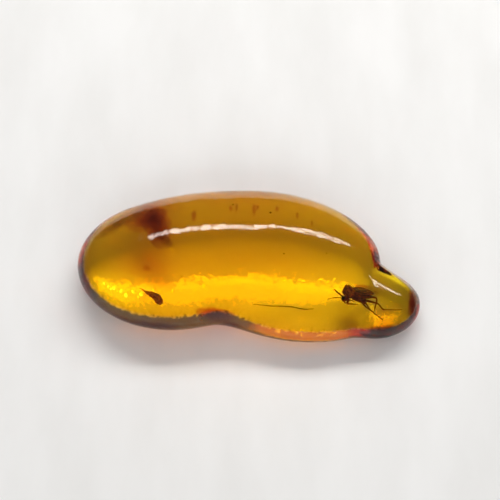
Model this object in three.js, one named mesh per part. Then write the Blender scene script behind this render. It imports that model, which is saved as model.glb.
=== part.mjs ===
// A polished pebble of amber, lying on its flat base. Millimetres, +Z up, +X towards the small end drop.
// The origin is on the base plane, under the middle of the pebble's box.
import * as THREE from 'three';
import { mergeVertices } from 'three/addons/utils/BufferGeometryUtils.js';

// The flows of resin that ran together, as ellipsoids: middle, half sizes, turn about +Z in degrees, and
// how far from the seam each one rounds into those before it.
const FLOWS = [
  { name: 'blunt end', middle: [-5.35, -0.8, 1.8], half: [6.65, 4.92, 2.9], turn: 0, seam: 0 },
  { name: 'body', middle: [1.15, 0.15, 1.8], half: [8, 4.72, 2.9], turn: -8.5, seam: 2 },
  { name: 'front foot', middle: [4.2, -3.62, 1.35], half: [6.1, 2.85, 2.05], turn: 0, seam: 1.4 },
  { name: 'end drop', middle: [8.6, -3.55, 1.2], half: [3.25, 2.6, 1.8], turn: 0, seam: 0.3 },
];
const BASE_ROUNDING = 0.35; // half the height over which the side turns into the flat base

// The grid that is drawn onto the surface, as segments of a box along X, Y and Z.
const GRID = [44, 22, 16];
const CORE = { half: [11.2, 4.6, 3.2], middle: [0, -0.2, 2.7], spine: 7.4 };
const REACH = 2.5; // furthest surface, as a multiple of the distance from the spine to the core's skin
const HALVINGS = 40;

// The signed distance, nearly, from a point to one ellipsoid.
function toFlow(point, flow) {
  const turn = THREE.MathUtils.degToRad(flow.turn);
  const x = point.x - flow.middle[0];
  const y = point.y - flow.middle[1];
  const z = point.z - flow.middle[2];
  const local = new THREE.Vector3(
    x * Math.cos(turn) + y * Math.sin(turn),
    y * Math.cos(turn) - x * Math.sin(turn),
    z,
  );
  const half = new THREE.Vector3(...flow.half);
  const scaled = local.clone().divide(half);
  const steep = scaled.clone().divide(half).length();
  const size = scaled.length();
  return steep > 1e-9 ? (size * (size - 1)) / steep : -Math.min(...flow.half);
}

// Two distances joined so that the seam between the shapes is rounded.
function roundedUnion(a, b, seam) {
  const share = Math.max(seam - Math.abs(a - b), 0) / seam;
  return Math.min(a, b) - (share * share * seam) / 4;
}

function toSurface(point) {
  const [first, ...others] = FLOWS;
  return others.reduce(
    (nearest, flow) => roundedUnion(nearest, toFlow(point, flow), flow.seam),
    toFlow(point, first),
  );
}

// Heights below the base plane become 0, with a rounded turn from the side into the base.
function rested(height) {
  if (height <= -BASE_ROUNDING) return 0;
  if (height >= BASE_ROUNDING) return height;
  return (height + BASE_ROUNDING) ** 2 / (4 * BASE_ROUNDING);
}

// The point where the line from the spine through the core's skin leaves the pebble.
function onSurface(unit) {
  const core = new THREE.Vector3(...CORE.middle);
  const skin = unit.clone().multiply(new THREE.Vector3(...CORE.half)).add(core);
  const spine = new THREE.Vector3(CORE.spine * unit.x, 0, 0).add(core);
  const out = skin.clone().sub(spine);
  let inner = 0;
  let outer = REACH;
  for (let i = 0; i < HALVINGS; i += 1) {
    const share = (inner + outer) / 2;
    if (toSurface(spine.clone().addScaledVector(out, share)) < 0) inner = share;
    else outer = share;
  }
  const found = spine.clone().addScaledVector(out, inner);
  found.z = rested(found.z);
  return found;
}

function pebbleGeometry() {
  const box = new THREE.BoxGeometry(2, 2, 2, ...GRID);
  box.deleteAttribute('normal');
  box.deleteAttribute('uv');
  const geometry = mergeVertices(box);
  const place = geometry.getAttribute('position');
  const even = (value) => Math.tan((value * Math.PI) / 4);
  for (let i = 0; i < place.count; i += 1) {
    const unit = new THREE.Vector3().fromBufferAttribute(place, i);
    unit.set(even(unit.x), even(unit.y), even(unit.z)).normalize();
    const point = onSurface(unit);
    place.setXYZ(i, point.x, point.y, point.z);
  }
  geometry.computeBoundingBox();
  const middle = geometry.boundingBox.getCenter(new THREE.Vector3());
  geometry.translate(-middle.x, -middle.y, 0);
  geometry.computeVertexNormals();
  return geometry;
}

const amberFinish = new THREE.MeshStandardMaterial({
  color: new THREE.Color(0.85, 0.5, 0.06),
  roughness: 0.08,
  metalness: 0,
});

const pebble = new THREE.Mesh(pebbleGeometry(), amberFinish);
pebble.name = 'amber_pebble';

const part = new THREE.Group();
part.add(pebble);

export default part;
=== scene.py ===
import math
import bpy
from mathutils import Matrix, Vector, noise


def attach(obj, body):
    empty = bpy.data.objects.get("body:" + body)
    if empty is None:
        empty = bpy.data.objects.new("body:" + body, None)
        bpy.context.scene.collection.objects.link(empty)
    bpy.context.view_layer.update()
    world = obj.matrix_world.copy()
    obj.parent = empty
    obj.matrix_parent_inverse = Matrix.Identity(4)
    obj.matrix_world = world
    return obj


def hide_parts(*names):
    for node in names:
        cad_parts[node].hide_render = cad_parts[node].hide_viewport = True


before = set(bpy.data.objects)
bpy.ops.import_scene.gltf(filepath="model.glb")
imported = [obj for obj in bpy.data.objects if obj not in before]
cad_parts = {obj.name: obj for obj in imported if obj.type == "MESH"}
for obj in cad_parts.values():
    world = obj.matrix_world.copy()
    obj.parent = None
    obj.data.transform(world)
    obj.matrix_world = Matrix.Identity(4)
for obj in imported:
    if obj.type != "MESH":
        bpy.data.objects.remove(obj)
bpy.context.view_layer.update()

# Places and sizes are in millimetres, as along (X), across (Y) and up (Z). Turns are in degrees about up.
MM = 0.001
DEEP = 2.15   # how high above the table the gnat lies in the amber
scene = bpy.context.scene


# ---------- bench helpers ----------

def at(x, y, z):
    """A place given in millimetres."""
    return Vector((x, y, z)) * MM


def on_bench(name):
    """The new primitive, named."""
    piece = bpy.context.object
    piece.name = name
    piece.data.name = name
    return piece


def select_only(piece):
    bpy.ops.object.select_all(action="DESELECT")
    piece.select_set(True)
    bpy.context.view_layer.objects.active = piece


def edit_all(piece):
    select_only(piece)
    bpy.ops.object.mode_set(mode="EDIT")
    bpy.ops.mesh.select_all(action="SELECT")


def done_editing():
    bpy.ops.object.mode_set(mode="OBJECT")


def pick(piece, wanted):
    """Selects, in edit mode, just the vertices whose place passes the test."""
    done_editing()
    mesh = piece.data
    for part in (mesh.polygons, mesh.edges):
        for item in part:
            item.select = False
    for vertex in mesh.vertices:
        vertex.select = wanted(piece.matrix_world @ vertex.co)
    bpy.ops.object.mode_set(mode="EDIT")


def modify(piece, kind, **settings):
    """Adds one modifier and applies it."""
    select_only(piece)
    step = piece.modifiers.new(kind.lower(), kind)
    for key, value in settings.items():
        setattr(step, key, value)
    bpy.ops.object.modifier_apply(modifier=step.name)


def settle(piece):
    """Puts the piece's place, turn and size into its mesh."""
    select_only(piece)
    bpy.ops.object.transform_apply(location=True, rotation=True, scale=True)
    bpy.ops.object.shade_smooth()


def wear(piece, finish):
    """Gives the piece its finish and its ride."""
    piece.data.materials.clear()
    piece.data.materials.append(finish)
    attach(piece, "root")
    return piece


def thread(name, points, radii, finish, sides=3, smooth=6):
    """A tapering closed tube along points, with a radius at each."""
    bpy.ops.object.select_all(action="DESELECT")
    bpy.ops.curve.primitive_bezier_curve_add(location=(0, 0, 0))
    line = on_bench(name)
    run = line.data.splines[0]
    run.bezier_points.add(len(points) - 2)
    for knot, point, radius in zip(run.bezier_points, points, radii):
        knot.co = at(*point)
        knot.handle_left_type = knot.handle_right_type = "AUTO"
        knot.radius = radius
    line.data.bevel_depth = MM
    line.data.bevel_resolution = sides
    line.data.resolution_u = smooth
    line.data.use_fill_caps = True
    select_only(line)
    bpy.ops.object.convert(target="MESH")
    line = on_bench(name)
    edit_all(line)
    bpy.ops.mesh.remove_doubles(threshold=0.0005 * MM)
    bpy.ops.mesh.normals_make_consistent(inside=False)
    done_editing()
    bpy.ops.object.shade_smooth()
    return wear(line, finish)


def ball(name, middle, half, turn=0.0, rings=16):
    """A rounded body, left in edit mode, with its middle, half sizes and turn."""
    bpy.ops.object.select_all(action="DESELECT")
    centre = at(*middle)
    bpy.ops.mesh.primitive_uv_sphere_add(
        segments=2 * rings, ring_count=rings, radius=MM, location=centre)
    body = on_bench(name)
    edit_all(body)
    bpy.ops.transform.resize(value=half, center_override=centre)
    bpy.ops.transform.rotate(value=-math.radians(turn), orient_axis="Z", center_override=centre)
    return body


def roughen(piece, depth, size, seed):
    """Moves each vertex in or out by smooth noise of this depth and size."""
    shift = Vector((seed * 7.3, seed * 3.1, seed * 5.7))
    outward = [vertex.normal.copy() for vertex in piece.data.vertices]
    for vertex, out in zip(piece.data.vertices, outward):
        swell = noise.noise(vertex.co / (size * MM) + shift)
        vertex.co += out * swell * depth * MM


def finish_off(body, finish, depth=0.0, size=1.0, seed=0):
    """Takes a ball out of edit mode, roughens it if a depth is given, and finishes it."""
    done_editing()
    settle(body)
    if depth:
        roughen(body, depth, size, seed)
    return wear(body, finish)


# ---------- finishes ----------

AMBER_IOR = 1.54
AMBER_TINT = (0.994, 0.941, 0.0)
AMBER_DENSITY = 1600   # tint per metre of depth
SEALED_SHINE = 0.06    # resin wets what is sealed in it, so it hardly shines
PAINTED_GLINT_GLOW = 1.3         # painted glint: bubbles and spangles glow on their own, in place of lamplight turned back by their walls


def new_finish(name):
    finish = bpy.data.materials.new(name)
    finish.use_nodes = True
    nodes = finish.node_tree.nodes
    return finish, nodes, finish.node_tree.links, nodes["Principled BSDF"]


def mottle(nodes, links, scale, dark, light, stretch=(1, 1, 1), detail=4.0):
    """Object-space noise run through a two-colour ramp; returns the noise and the ramp."""
    place = nodes.new("ShaderNodeTexCoord")
    mapping = nodes.new("ShaderNodeMapping")
    mapping.inputs["Scale"].default_value = stretch
    links.new(place.outputs["Object"], mapping.inputs["Vector"])
    cloud_noise = nodes.new("ShaderNodeTexNoise")
    cloud_noise.inputs["Scale"].default_value = scale
    cloud_noise.inputs["Detail"].default_value = detail
    links.new(mapping.outputs["Vector"], cloud_noise.inputs["Vector"])
    ramp = nodes.new("ShaderNodeValToRGB")
    for stop, position, colour in zip(ramp.color_ramp.elements, (0.35, 0.65), (dark, light)):
        stop.position = position
        stop.color = (*colour, 1)
    links.new(cloud_noise.outputs["Fac"], ramp.inputs["Fac"])
    return cloud_noise, ramp


def raise_bump(nodes, links, source, skin, strength, depth):
    bump = nodes.new("ShaderNodeBump")
    bump.inputs["Strength"].default_value = strength
    bump.inputs["Distance"].default_value = depth * MM
    links.new(source, bump.inputs["Height"])
    links.new(bump.outputs["Normal"], skin.inputs["Normal"])


def clear_resin(name, ior, tint, density):
    """A see-through finish which takes light away with depth."""
    finish, nodes, links, skin = new_finish(name)
    skin.inputs["Base Color"].default_value = (1, 1, 1, 1)
    skin.inputs["Transmission Weight"].default_value = 1
    skin.inputs["IOR"].default_value = ior
    skin.inputs["Roughness"].default_value = 0.0
    depth_tint = nodes.new("ShaderNodeVolumeAbsorption")
    depth_tint.inputs["Color"].default_value = (*tint, 1)
    depth_tint.inputs["Density"].default_value = density
    links.new(depth_tint.outputs["Volume"], nodes["Material Output"].inputs["Volume"])
    return finish, nodes, links, skin


def polished_amber():
    """Clear honey resin, polished by hand, with faint drag lines across it."""
    finish, nodes, links, skin = clear_resin("polished_amber", AMBER_IOR, AMBER_TINT, AMBER_DENSITY)
    drag, _ = mottle(nodes, links, 3400, (0, 0, 0), (1, 1, 1), stretch=(1, 0.45, 0.7), detail=3.0)
    raise_bump(nodes, links, drag.outputs["Fac"], skin, 0.8, 0.024)
    return finish


def tinted_cloud(name, tint, density):
    """A tinted patch in the resin, used for stains, hazes and painted shade, which doesn't bend light and
    only takes it away.
    """
    return clear_resin(name, 1.0, tint, density)[0]


def cuticle(name, dark, light, roughness):
    """Old brown insect skin or husk, with a fine grain and a dull shine."""
    finish, nodes, links, skin = new_finish(name)
    grain, ramp = mottle(nodes, links, 9000, dark, light)
    links.new(ramp.outputs["Color"], skin.inputs["Base Color"])
    skin.inputs["Roughness"].default_value = roughness
    skin.inputs["Specular IOR Level"].default_value = SEALED_SHINE
    raise_bump(nodes, links, grain.outputs["Fac"], skin, 0.5, 0.02)
    return finish


def wing_skin():
    """A thin smoky membrane."""
    finish, nodes, links, skin = new_finish("wing_membrane")
    grain, ramp = mottle(nodes, links, 5000, (0.05, 0.012, 0.004), (0.3, 0.1, 0.02))
    links.new(ramp.outputs["Color"], skin.inputs["Base Color"])
    skin.inputs["Roughness"].default_value = 0.3
    skin.inputs["Alpha"].default_value = 0.62
    skin.inputs["Specular IOR Level"].default_value = SEALED_SHINE
    raise_bump(nodes, links, grain.outputs["Fac"], skin, 0.3, 0.01)
    return finish


def gas_mirror_and_painted_glint():
    """The mirror that a gas bubble makes in resin, with a painted glint glowing from it."""
    finish, nodes, links, skin = new_finish("gas_mirror_and_painted_glint")
    _, film = mottle(nodes, links, 4000, (0.95, 0.8, 0.45), (1.0, 0.92, 0.7))
    links.new(film.outputs["Color"], skin.inputs["Base Color"])
    skin.inputs["Metallic"].default_value = 0.25
    skin.inputs["Roughness"].default_value = 0.2
    # Painted glint: a yellow glow of its own, standing in for lamplight turned back out of the amber.
    skin.inputs["Emission Color"].default_value = (1.0, 0.78, 0.12, 1)
    skin.inputs["Emission Strength"].default_value = PAINTED_GLINT_GLOW
    return finish


# ---------- the amber ----------

BROAD_WAVE, BROAD_DEPTH = 1.5, 0.008
FINE_WAVE, FINE_DEPTH = (0.35, 0.5, 0.5), 0.0045
FLAT_UP_TO, FADE_OVER = 0.1, 0.8   # the base stays flat, and the waves grow in above it


def polish_ripples(pebble):
    """The slight waves left by polishing by hand, everywhere but on the flat base."""
    apart = Vector((9, 4, 2))   # keeps the fine waves from following the broad ones
    outward = [vertex.normal.copy() for vertex in pebble.data.vertices]
    for vertex, out in zip(pebble.data.vertices, outward):
        place = vertex.co / MM
        fade = min(max((place.z - FLAT_UP_TO) / FADE_OVER, 0.0), 1.0)
        broad = noise.noise(Vector([length / BROAD_WAVE for length in place]))
        fine = noise.noise(Vector([length / wave for length, wave in zip(place, FINE_WAVE)]) + apart)
        vertex.co += out * fade * (BROAD_DEPTH * broad + FINE_DEPTH * fine) * MM


def amber_pebble():
    """The smoothed and polished copy of the solid lump."""
    select_only(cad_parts["amber_pebble"])
    bpy.ops.object.duplicate()
    pebble = on_bench("amber_polished")
    for key in list(pebble.keys()):
        del pebble[key]
    pebble.parent = None
    edit_all(pebble)
    bpy.ops.mesh.remove_doubles(threshold=0.001 * MM)
    bpy.ops.mesh.tris_convert_to_quads()
    bpy.ops.mesh.normals_make_consistent(inside=False)
    done_editing()
    modify(pebble, "SUBSURF", levels=2, render_levels=2)
    polish_ripples(pebble)
    bpy.ops.object.shade_smooth()
    wear(pebble, polished_amber())
    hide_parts("amber_pebble")


# ---------- the gnat ----------
# It lies on its right side, its head towards -X and its back towards +Y. Near means its left side, which
# faces up. In its tables, the third length is how far out a place is from the gnat's own depth.

# Each leg: hip, knee, ankle, toe, and how thick its thigh is.
LEGS = {
    "front_near": ((6.72, -2.9, 0.14), (6.58, -3.2, 0.24), (6.9, -3.22, 0.26), (7.2, -3.3, 0.2), 0.05),
    "front_far": ((6.74, -2.9, -0.14), (6.68, -3.18, -0.3), (6.98, -3.2, -0.36), (7.4, -3.22, -0.4), 0.045),
    "middle_near": ((6.98, -2.88, 0.16), (7.5, -3.16, 0.3), (8.02, -3.72, 0.22), (8.1, -3.8, 0.2), 0.06),
    "middle_far": ((7.0, -2.88, -0.16), (8.02, -3.2, -0.3), (8.24, -3.58, -0.34), (9.2, -4.26, -0.5), 0.055),
    "hind_near": ((7.12, -2.84, 0.14), (8.76, -3.06, 0.2), (8.6, -3.82, 0.1), (8.56, -3.96, 0.08), 0.045),
    "hind_far": ((7.14, -2.84, -0.14), (8.8, -3.22, -0.3), (9.22, -3.62, -0.4), (10.4, -3.47, -0.6), 0.04),
}
# Each antenna: foot, bend, tip, and how thick its beads are.
ANTENNAE = {
    "near": ((6.36, -2.88, 0.07), (6.12, -2.7, 0.12), (5.76, -2.36, 0.15), 0.09),
    "far": ((6.34, -2.92, -0.07), (6.0, -2.82, -0.12), (5.33, -2.9, -0.2), 0.045),
}
# Each wing: root, tip, width, and how far its middle arches up.
WINGS = {
    "near": ((7.04, -2.42, 0.28), (8.6, -2.74, 0.12), 0.44, 0.06),
    "far": ((7.02, -2.5, -0.26), (8.52, -2.62, -0.2), 0.42, -0.05),
}
# Each wing vein: where it starts and stops along the wing, and how far aside it is there, as shares.
VEINS = (
    (0.02, 0.97, 1.0, 0.99), (0.02, 0.95, -0.98, -0.99),
    (0.04, 0.93, 0.3, 0.55), (0.04, 0.9, -0.1, -0.45),
)
EDGE_VEINS = 2   # the first two are the thick ones round the edge
VEIN_STEPS = 8
# Each brown haze beside the gnat: middle, half sizes and turn.
BROWN_HAZES = (
    ((7.85, -2.14, 0), (0.75, 0.17, 0.2), -14),
    ((7.4, -2.12, 0.1), (0.35, 0.15, 0.18), -5),
    ((8.7, -2.6, 0), (0.3, 0.12, 0.15), -30),
)
THIGH_TO_TOE = (0.75, 1.0, 0.62, 0.5, 0.42, 0.32, 0.22)
LEG_GIRTH = 2.15
ABDOMEN_RINGS = 7
ANTENNA_BEADS = 9
BRISTLES = 9


def in_gnat(x, y, out=0.0):
    """A place in the gnat's layer of the amber."""
    return (x, y, DEEP + out)


def gnat_thorax(finish):
    """The humped middle of the body, pulled up where the back rises."""
    body = ball("gnat_thorax", in_gnat(6.83, -2.52), (0.5, 0.42, 0.34), turn=-24)
    hump = at(*in_gnat(6.72, -2.3))
    pick(body, lambda place: (place - hump).length < 0.22 * MM)
    bpy.ops.transform.translate(
        value=at(-0.05, 0.1, 0), use_proportional_edit=True,
        proportional_edit_falloff="SMOOTH", proportional_size=0.4 * MM)
    finish_off(body, finish, 0.05, 0.14, 2)


def gnat_head(finish, eye_finish):
    head = ball("gnat_head", in_gnat(6.45, -3.0), (0.17, 0.2, 0.18), turn=20)
    finish_off(head, finish, 0.012, 0.08, 5)
    for side, out in (("near", 0.11), ("far", -0.11)):
        eye = ball("gnat_eye_" + side, in_gnat(6.41, -3.01, out), (0.12, 0.15, 0.09), turn=20, rings=12)
        finish_off(eye, eye_finish)
    thread("gnat_neck", [in_gnat(6.5, -2.93), in_gnat(6.57, -2.82), in_gnat(6.66, -2.72)],
           [0.05, 0.055, 0.08], finish)
    for side, out in (("near", 0.05), ("far", -0.05)):
        palp = [in_gnat(6.44, -3.14, out), in_gnat(6.5, -3.25, 1.3 * out), in_gnat(6.6, -3.3, 1.6 * out)]
        thread("gnat_palp_" + side, palp, [0.035, 0.03, 0.018], finish)


def gnat_abdomen(finish):
    """Rings that each get a little thinner, pinched at the joints."""
    start, end = Vector(in_gnat(7.1, -2.72)), Vector(in_gnat(8.36, -2.86, -0.06))
    points, radii = [], []
    for ring in range(ABDOMEN_RINGS):
        for share, swell in ((0.0, 0.86), (0.5, 1.0), (0.94, 0.93)):
            along = (ring + share) / ABDOMEN_RINGS
            sag = 0.07 * math.sin(math.pi * along)
            points.append(tuple(start.lerp(end, along) + Vector((0, -sag, 0))))
            radii.append((0.23 - 0.14 * along ** 1.6) * swell)
    points.append(tuple(end + Vector((0.05, 0.0, 0))))
    radii.append(0.02)
    thread("gnat_abdomen", points, radii, finish, sides=5, smooth=3)


def gnat_wing(side, root, tip, width, lift, finish, vein_finish):
    """A long rounded leaf with its veins, folded back over the abdomen."""
    root, tip = Vector(in_gnat(*root)), Vector(in_gnat(*tip))
    along = tip - root
    across = Vector((-along.y, along.x, 0)).normalized()

    def on_wing(share, aside):
        """A place on the wing: share of its length, and share of its half width aside."""
        reach = math.sin(math.pi * min(share ** 0.75, 1.0)) ** 0.6
        arch = lift * math.sin(math.pi * share) * (1 - aside * aside * 0.4)
        return root + along * share + across * (aside * reach * width / 2) + Vector((0, 0, arch))

    bpy.ops.object.select_all(action="DESELECT")
    bpy.ops.mesh.primitive_grid_add(x_subdivisions=24, y_subdivisions=8, size=2, location=(0, 0, 0))
    leaf = on_bench("gnat_wing_" + side)
    for vertex in leaf.data.vertices:
        share = 0.01 + 0.98 * (vertex.co.x + 1) / 2
        vertex.co = on_wing(share, vertex.co.y) * MM
    modify(leaf, "SOLIDIFY", thickness=0.006 * MM, offset=0)
    settle(leaf)
    wear(leaf, finish)
    for number, (start, stop, low, high) in enumerate(VEINS, 1):
        points, radii = [], []
        for step in range(VEIN_STEPS + 1):
            share = start + (stop - start) * step / VEIN_STEPS
            aside = low + (high - low) * step / VEIN_STEPS
            points.append(tuple(on_wing(share, aside) + Vector((0, 0, 0.006))))
            radii.append(0.042 - 0.02 * step / VEIN_STEPS if number <= EDGE_VEINS else 0.018)
        name = "gnat_wing_%s_vein_%d" % (side, number)
        thread(name, points, radii, vein_finish, sides=2, smooth=3)


def gnat_antenna(side, foot, bend, tip, thick, finish):
    """A string of small beads: its width swells and narrows along it."""
    foot, bend, tip = (Vector(in_gnat(*place)) for place in (foot, bend, tip))
    line, radii = [], []
    for bead in range(ANTENNA_BEADS):
        for share, swell in ((0.1, 0.6), (0.5, 1.0), (0.9, 0.6)):
            along = (bead + share) / ANTENNA_BEADS
            line.append(tuple(foot.lerp(bend, along).lerp(bend.lerp(tip, along), along)))
            radii.append(thick * swell * (1 - 0.45 * along))
    thread("gnat_antenna_" + side, line, radii, finish, sides=2, smooth=2)


def gnat_leg(name, hip, knee, ankle, toe, thick, finish):
    """Thigh, shin and foot in one run, thickest in the thigh."""
    hip, knee, ankle, toe = (Vector(in_gnat(*place)) for place in (hip, knee, ankle, toe))
    stretches = ((hip, knee, (0.0, 0.5, 0.96)), (knee, ankle, (0.1, 0.95)), (ankle, toe, (0.15, 1.0)))
    line = [tuple(start.lerp(end, share)) for start, end, shares in stretches for share in shares]
    radii = [LEG_GIRTH * thick * share for share in THIGH_TO_TOE]
    thread("gnat_leg_" + name, line, radii, finish, sides=2, smooth=4)


def gnat_haltere(side, out, finish):
    """The small knobbed balancer behind a wing."""
    stalk = [in_gnat(7.16, -2.62, out * 0.8), in_gnat(7.26, -2.66, out), in_gnat(7.33, -2.68, out * 1.05)]
    thread("gnat_haltere_" + side, stalk, [0.012, 0.014, 0.045], finish, sides=2)


def gnat_bristles(finish):
    """Short stiff hairs that stand out of the thorax's back."""
    for number in range(BRISTLES):
        turn = math.radians(20 + 17 * number)
        out = 0.05 * (number % 3 - 1)
        foot = Vector(in_gnat(6.8 + 0.4 * math.cos(turn), -2.5 + 0.38 * math.sin(turn), out))
        tip = foot + Vector((0.12 * math.cos(turn) + 0.05, 0.14 * math.sin(turn), 0))
        thread("gnat_bristle_%d" % (number + 1), [tuple(foot), tuple(foot.lerp(tip, 0.6)), tuple(tip)],
               [0.009, 0.006, 0.003], finish, sides=1, smooth=3)


def gnat():
    body_skin = cuticle("thorax_skin", (0.03, 0.005, 0.002), (0.4, 0.1, 0.02), 0.35)
    dark_skin = cuticle("abdomen_skin", (0.045, 0.006, 0.002), (0.26, 0.055, 0.01), 0.4)
    limb_skin = cuticle("limb_skin", (0.06, 0.008, 0.002), (0.2, 0.035, 0.007), 0.45)
    eye_skin = cuticle("eye_skin", (0.008, 0.002, 0.001), (0.02, 0.005, 0.002), 0.2)
    gnat_thorax(body_skin)
    gnat_head(dark_skin, eye_skin)
    gnat_abdomen(dark_skin)
    membrane = wing_skin()
    for side, wing in WINGS.items():
        gnat_wing(side, *wing, membrane, dark_skin)
    for side, antenna in ANTENNAE.items():
        gnat_antenna(side, *antenna, limb_skin)
    for name, leg in LEGS.items():
        gnat_leg(name, *leg, limb_skin)
    gnat_haltere("near", 0.3, limb_skin)
    gnat_haltere("far", -0.3, limb_skin)
    gnat_bristles(limb_skin)
    haze_tint = tinted_cloud("brown_haze", (0.75, 0.3, 0.0), 1300)
    for number, (middle, half, turn) in enumerate(BROWN_HAZES, 1):
        cloud("gnat_smear_%d" % number, in_gnat(*middle), half, turn, haze_tint)


# ---------- what else is sealed in ----------

# Each stain or painted shade: middle, half sizes, turn and which tint it has.
STAINS_AND_PAINTED_SHADE = {
    "stain_shoulder": ((-6.2, 1.9, 2.8), (0.95, 1.5, 0.8), 14, "rust"),
    "stain_shoulder_side": ((-6.9, 2.6, 2.5), (1.5, 0.85, 0.7), 24, "rust"),
    "stain_shoulder_tail": ((-5.6, 0.9, 2.7), (0.75, 0.4, 0.4), -35, "smoke"),
    # Painted shade: a smoky cloud darkens the upper left edge, where the steep side shows shade.
    "stain_shoulder_edge": ((-8.7, 2.5, 2.0), (2.1, 0.5, 0.6), 30, "smoke"),
    "stain_spot": ((-6.87, -0.5, 1.5), (0.35, 0.25, 0.25), 0, "rust"),
    "stain_waist": ((-2.3, -3.35, 1.4), (1.5, 0.36, 0.45), -8, "red"),
    "stain_waist_low": ((-1.3, -3.9, 0.95), (0.9, 0.28, 0.36), -12, "red"),
    "stain_drop_edge": ((11.0, -2.9, 1.1), (0.28, 1.0, 0.42), 0, "red"),
    "stain_drop_low": ((8.9, -4.5, 0.9), (1.3, 0.32, 0.35), 6, "red"),
    # Painted shade: a honey-tinted cloud dims the bright crescent of lamplight in the end drop.
    "stain_drop_heart": ((9.2, -3.9, 0.9), (1.7, 1.0, 0.65), 20, "honey"),
}
# Each streak along the back: its place along and across, its width and its half length.
STREAKS = (
    (-3.75, 2.6, 0.1, 0.55), (-1.25, 3.2, 0.07, 0.3), (-0.85, 3.25, 0.06, 0.45), (0.36, 3.1, 0.09, 0.6),
    (0.6, 3.3, 0.05, 0.25), (1.95, 3.2, 0.07, 0.3), (3.31, 2.7, 0.06, 0.35), (4.3, 2.1, 0.05, 0.3),
)
# Each speck: its place and size.
SPECKS = (
    (1.5, 2.8, 3.5, 0.07), (-6.72, 3.08, 3.4, 0.06), (-1.1, 3.5, 3.2, 0.05), (-4.6, -1.2, 2.0, 0.03),
    (2.4, 0.3, 2.2, 0.03), (5.2, 0.4, 2.0, 0.035), (-8.6, 0.6, 2.0, 0.03),
)
# Each bubble and each spangle: its place along and across, and its size.
BUBBLES = (
    (-9.67, -1.61, 0.09), (-9.41, -1.82, 0.1), (-9.21, -2.03, 0.09), (-9.01, -1.97, 0.11),
    (-8.55, -2.19, 0.1), (-8.22, -2.47, 0.12), (-7.77, -2.22, 0.11), (-7.25, -2.42, 0.12),
    (-7.45, -2.6, 0.06), (-8.8, -2.2, 0.05),
)
# The spangles are painted glints: flat glowing flakes along the top edge of the bright yellow band.
GLINT_SPANGLES = (
    (2.45, -1.6, 0.08), (3.74, -1.7, 0.1), (4.83, -1.6, 0.09), (5.37, -1.74, 0.07),
    (5.78, -1.6, 0.08), (4.35, -1.2, 0.05), (-3.12, -1.95, 0.1), (-5.22, -2.35, 0.09),
    (-6.45, -2.31, 0.08),
)
BUBBLE_HEIGHT, SPANGLE_HEIGHT, STREAK_HEIGHT = 2.0, 2.2, 3.2
# The husk's outline: shares of its length, and its radius there.
HUSK_OUTLINE = (
    (0.0, 0.04), (0.12, 0.1), (0.3, 0.17), (0.5, 0.215), (0.7, 0.25), (0.86, 0.24), (0.95, 0.16), (1.0, 0.05),
)
CURL_KNOTS = 7


def cloud(name, middle, half, turn, finish):
    """A soft-edged tinted cloud, used for stains, hazes and painted shade: uneven rounded lumps of tinted
    resin, one inside the other.
    """
    for layer, share in (("heart", 0.4), ("middle", 0.7), ("rim", 1.0)):
        size = tuple(share * reach for reach in half)
        thin = min(size)
        body = ball("%s_%s" % (name, layer), middle, size, turn, rings=14)
        finish_off(body, finish, 0.3 * thin, 0.8 * thin + 0.1, len(name))


def seed_husk(husk_skin):
    """A brown teardrop husk with a thin stalk at its narrow end."""
    start, end = Vector((-6.95, -2.4, 2.2)), Vector((-5.92, -3.18, 2.1))
    bow = Vector((0.1, 0.12, 0))
    points = [tuple(start.lerp(end, share) + bow * math.sin(math.pi * share)) for share, _ in HUSK_OUTLINE]
    radii = [radius for _, radius in HUSK_OUTLINE]
    husk = thread("seed_husk", points, radii, husk_skin, sides=6, smooth=5)
    roughen(husk, 0.035, 0.2, 4)
    stalk = [(-7.35, -2.2, 2.25), (-7.18, -2.26, 2.25), (-6.93, -2.42, 2.2)]
    thread("husk_stalk", stalk, [0.02, 0.03, 0.045], husk_skin)


def loose_hair():
    skin = cuticle("hair_skin", (0.01, 0.004, 0.001), (0.03, 0.012, 0.002), 0.5)
    run = [(0.38, -3.29, 2.2), (1.71, -3.47, 2.2), (2.79, -3.53, 2.2), (3.82, -3.7, 2.15), (4.45, -3.67, 2.1)]
    thread("loose_hair", run, [0.016, 0.03, 0.034, 0.03, 0.014], skin, sides=2, smooth=10)


def hair_curl(skin):
    """A short hair curled most of the way round, at the waist."""
    middle = Vector((-3.3, -3.7, 1.5))
    turns = [math.radians(60 + 40 * step) for step in range(CURL_KNOTS)]
    points = [tuple(middle + Vector((0.14 * math.cos(turn), 0.2 * math.sin(turn), 0.0))) for turn in turns]
    thread("hair_curl", points, [0.03] * CURL_KNOTS, skin, sides=2)


def stains_and_painted_shade():
    tints = {
        "rust": tinted_cloud("rust_stain", (0.72, 0.3, 0.0), 900),
        "smoke": tinted_cloud("smoke_stain_and_painted_shade", (0.62, 0.45, 0.36), 700),
        "honey": tinted_cloud("honey_painted_shade", (0.85, 0.5, 0.0), 420),
        "red": tinted_cloud("red_stain", (0.7, 0.12, 0.0), 1900),
    }
    for name, (middle, half, turn, tint) in STAINS_AND_PAINTED_SHADE.items():
        cloud(name, middle, half, turn, tints[tint])
    for number, (x, y, wide, long) in enumerate(STREAKS, 1):
        cloud("streak_%d" % number, (x, y, STREAK_HEIGHT), (2.2 * wide, long, 0.35), 0, tints["rust"])


def specks():
    skin = cuticle("speck_skin", (0.01, 0.003, 0.001), (0.06, 0.015, 0.003), 0.5)
    for number, (x, y, z, size) in enumerate(SPECKS, 1):
        half = (size, size * 0.8, size * 0.7)
        speck = ball("speck_%d" % number, (x, y, z), half, turn=30 * number, rings=8)
        finish_off(speck, skin, size * 0.4, size, number)


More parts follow.
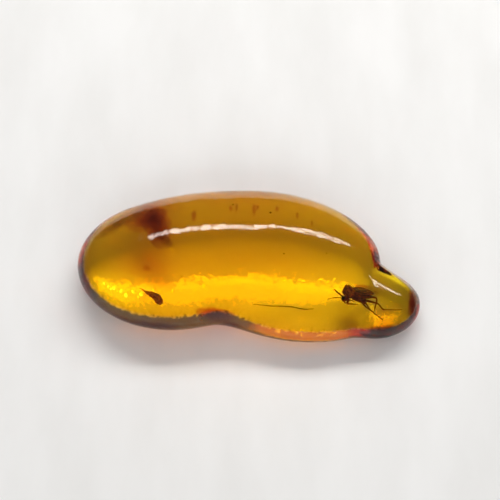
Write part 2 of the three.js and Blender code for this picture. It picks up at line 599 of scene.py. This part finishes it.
def bubbles():
    """A row of small round bubbles and a row of long flat spangles, all glowing with a painted glint."""
    gas_with_glint = gas_mirror_and_painted_glint()
    for number, (x, y, size) in enumerate(BUBBLES, 1):
        half = (size, size * 0.92, size)
        bubble = ball("bubble_%d" % number, (x, y, BUBBLE_HEIGHT), half, turn=15 * number, rings=12)
        finish_off(bubble, gas_with_glint, size * 0.12, size * 2, number)
    for number, (x, y, size) in enumerate(GLINT_SPANGLES, 1):
        half = (size * 1.5, size * 0.5, size * 0.5)
        flake = ball("spangle_%d" % number, (x, y, SPANGLE_HEIGHT), half, turn=10 * number, rings=10)
        finish_off(flake, gas_with_glint, size * 0.3, size, number)


# ---------- table, light and camera ----------
# Lamps stand at distances in metres.

STAND_NEAR, STAND_FAR = 0.2, 0.9
ASIDE = Vector((0.05, 0, 0))   # the lamps behind stand a little to the right
ROOM_LIGHT = 0.1
CAMERA_TILT, CAMERA_AWAY = 60, 0.1443
LOOK_AT, LOOK_UP = at(0.1, 0, 2.4), 0.7 * MM


def pale_table():
    bpy.ops.object.select_all(action="DESELECT")
    bpy.ops.mesh.primitive_plane_add(size=6, location=(0, 0, -0.01 * MM))
    table = on_bench("pale_table")
    finish, nodes, links, top = new_finish("pale_cloth")
    _, weave = mottle(nodes, links, 220, (0.825, 0.82, 0.812), (0.875, 0.872, 0.868),
                      stretch=(1, 0.35, 1), detail=6.0)
    links.new(weave.outputs["Color"], top.inputs["Base Color"])
    top.inputs["Roughness"].default_value = 0.9
    top.inputs["Specular IOR Level"].default_value = 0.1
    table.data.materials.append(finish)


def lamp(name, place, aim, length, width, glow, mirrored=False):
    """A flat rectangular lamp of the given brightness, seen in polished things only where mirrored."""
    face = bpy.data.lights.new(name, "AREA")
    face.shape = "RECTANGLE"
    face.size = length
    face.size_y = width
    face.energy = glow * math.pi * length * width
    holder = bpy.data.objects.new(name, face)
    scene.collection.objects.link(holder)
    holder.location = place
    holder.rotation_euler = (Vector(aim) - Vector(place)).to_track_quat("-Z", "Y").to_euler()
    holder.visible_glossy = mirrored
    return holder


def behind(height, away):
    """A place behind the table's middle, at a height in degrees and a distance."""
    tilt = math.radians(height)
    return Vector((0, away * math.cos(tilt), away * math.sin(tilt)))


def lights():
    table_middle = Vector((0, 0, 0))
    strip = lamp("strip_lamp", behind(52, STAND_NEAR) + ASIDE, ASIDE + at(0, 0, 2),
                 length=0.22, width=0.011, glow=18, mirrored=True)
    strip.data.color = (1.0, 0.96, 0.88)
    lamp("window_glow", behind(46, STAND_NEAR) + ASIDE, ASIDE, length=0.3, width=0.036, glow=7.0)
    lamp("front_fill", behind(150, STAND_FAR), table_middle, length=1.4, width=0.4, glow=2.5)
    lamp("ceiling_softbox", (0, 0, STAND_FAR), table_middle, length=2.4, width=2.4, glow=0.3)
    world = bpy.data.worlds.new("soft_room")
    scene.world = world
    world.use_nodes = True
    world.node_tree.nodes["Background"].inputs["Color"].default_value = (1, 1, 1, 1)
    world.node_tree.nodes["Background"].inputs["Strength"].default_value = ROOM_LIGHT


def camera():
    """A long lens that looks down at the front of the pebble."""
    lens = bpy.data.cameras.new("camera")
    lens.lens = 150
    lens.sensor_width = 36
    lens.clip_start = 0.005
    lens.clip_end = 20
    eye = bpy.data.objects.new("camera", lens)
    scene.collection.objects.link(eye)
    tilt = math.radians(CAMERA_TILT)
    back = Vector((0, -math.cos(tilt), math.sin(tilt)))
    up = Vector((0, math.sin(tilt), math.cos(tilt)))
    eye.location = LOOK_AT + up * LOOK_UP + back * CAMERA_AWAY
    eye.rotation_euler = (-back).to_track_quat("-Z", "Y").to_euler()
    scene.camera = eye


def light_paths():
    """Enough bounces for lamplight to come through the amber, untouched by clamps."""
    scene.view_settings.view_transform = "Standard"
    scene.cycles.use_denoising = True
    scene.cycles.max_bounces = 24
    scene.cycles.transmission_bounces = 16
    scene.cycles.caustics_reflective = False
    scene.cycles.blur_glossy = 0.0
    scene.cycles.sample_clamp_indirect = 0


amber_pebble()
gnat()
brown_husk = cuticle("husk_skin", (0.12, 0.018, 0.003), (0.55, 0.16, 0.03), 0.5)
seed_husk(brown_husk)
loose_hair()
hair_curl(brown_husk)
stains_and_painted_shade()
specks()
bubbles()
pale_table()
lights()
camera()
light_paths()
